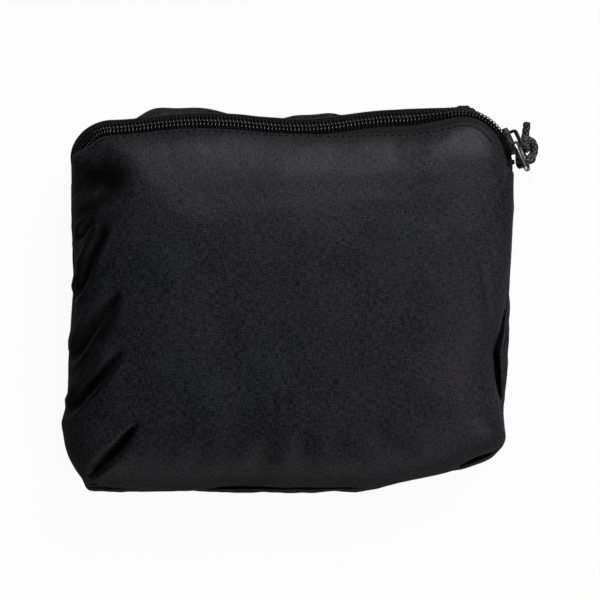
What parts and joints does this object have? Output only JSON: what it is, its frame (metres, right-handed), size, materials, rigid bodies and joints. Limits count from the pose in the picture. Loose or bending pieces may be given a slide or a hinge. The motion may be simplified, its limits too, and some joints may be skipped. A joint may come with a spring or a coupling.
{
  "type": "film changing bag in its pouch",
  "caption": "Black nylon zipped pouch holding a folded light-tight film changing bag, with a corner zip slider, wire pull loop and knotted cord pull.",
  "frame": {"origin": "middle of the back panel's flat face, where the pouch rests", "axes": "+Z out of the front panel, +Y towards the zip, +X towards the slider's side"},
  "size_m": [0.1758, 0.1413, 0.042],
  "materials": {
    "nylon_cloth": "woven nylon, slight sheen",
    "lining_cloth": "coated lining cloth",
    "elastic": "gathered elastic",
    "braided_cord": "braided",
    "zip_tape": "herringbone tape",
    "zip_coil": "gloss",
    "black_cast_metal": "black enamel",
    "nickel_wire": "nickel plate"
  },
  "bodies": {
    "pouch": {"front_panel": "nylon_cloth", "back_panel": "nylon_cloth", "left_gusset": "nylon_cloth", "right_gusset": "nylon_cloth", "bottom_gusset": "nylon_cloth", "outer_bag": "nylon_cloth", "left_sleeve": "nylon_cloth", "right_sleeve": "nylon_cloth", "inner_bag": "lining_cloth", "left_cuff": "elastic", "right_cuff": "elastic", "zip_tape_front": "zip_tape", "zip_tape_back": "zip_tape", "outer_zip_tape": "zip_tape", "inner_zip_tape": "zip_tape", "zip_coil_front": "zip_coil", "zip_coil_back": "zip_coil", "outer_zip_chain": "zip_coil", "inner_zip_chain": "zip_coil", "zip_bottom_stop": "black_cast_metal", "zip_top_stop_front": "black_cast_metal", "zip_top_stop_back": "black_cast_metal", "outer_zip_slider": "black_cast_metal", "inner_zip_slider": "black_cast_metal", "outer_zip_pull": "black_cast_metal", "inner_zip_pull": "black_cast_metal"},
    "slider": {"zip_slider": "black_cast_metal"},
    "loop": {"pull_loop": "nickel_wire"},
    "cord": {"pull_cord": "braided_cord"}
  },
  "joints": [
    {"name": "slider_travel", "type": "hinge", "parent": "pouch", "child": "slider", "pos_m": [0.06142, 0.04889, 0.021], "axis": [0, 0, 1], "range_deg": [0, 60], "deforming": ["zip_coil_front", "zip_coil_back"]},
    {"name": "pull_swing", "type": "hinge", "parent": "slider", "child": "loop", "pos_m": [0.08338, 0.05718, 0.02238], "axis": [-0.2516, -0.1126, 0.9613], "range_deg": [0, 90]},
    {"name": "cord_swing", "type": "hinge", "parent": "loop", "child": "cord", "pos_m": [0.08411, 0.05751, 0.0196], "axis": [0.4087, -0.9127, 0], "range_deg": [0, 45]}
  ]
}
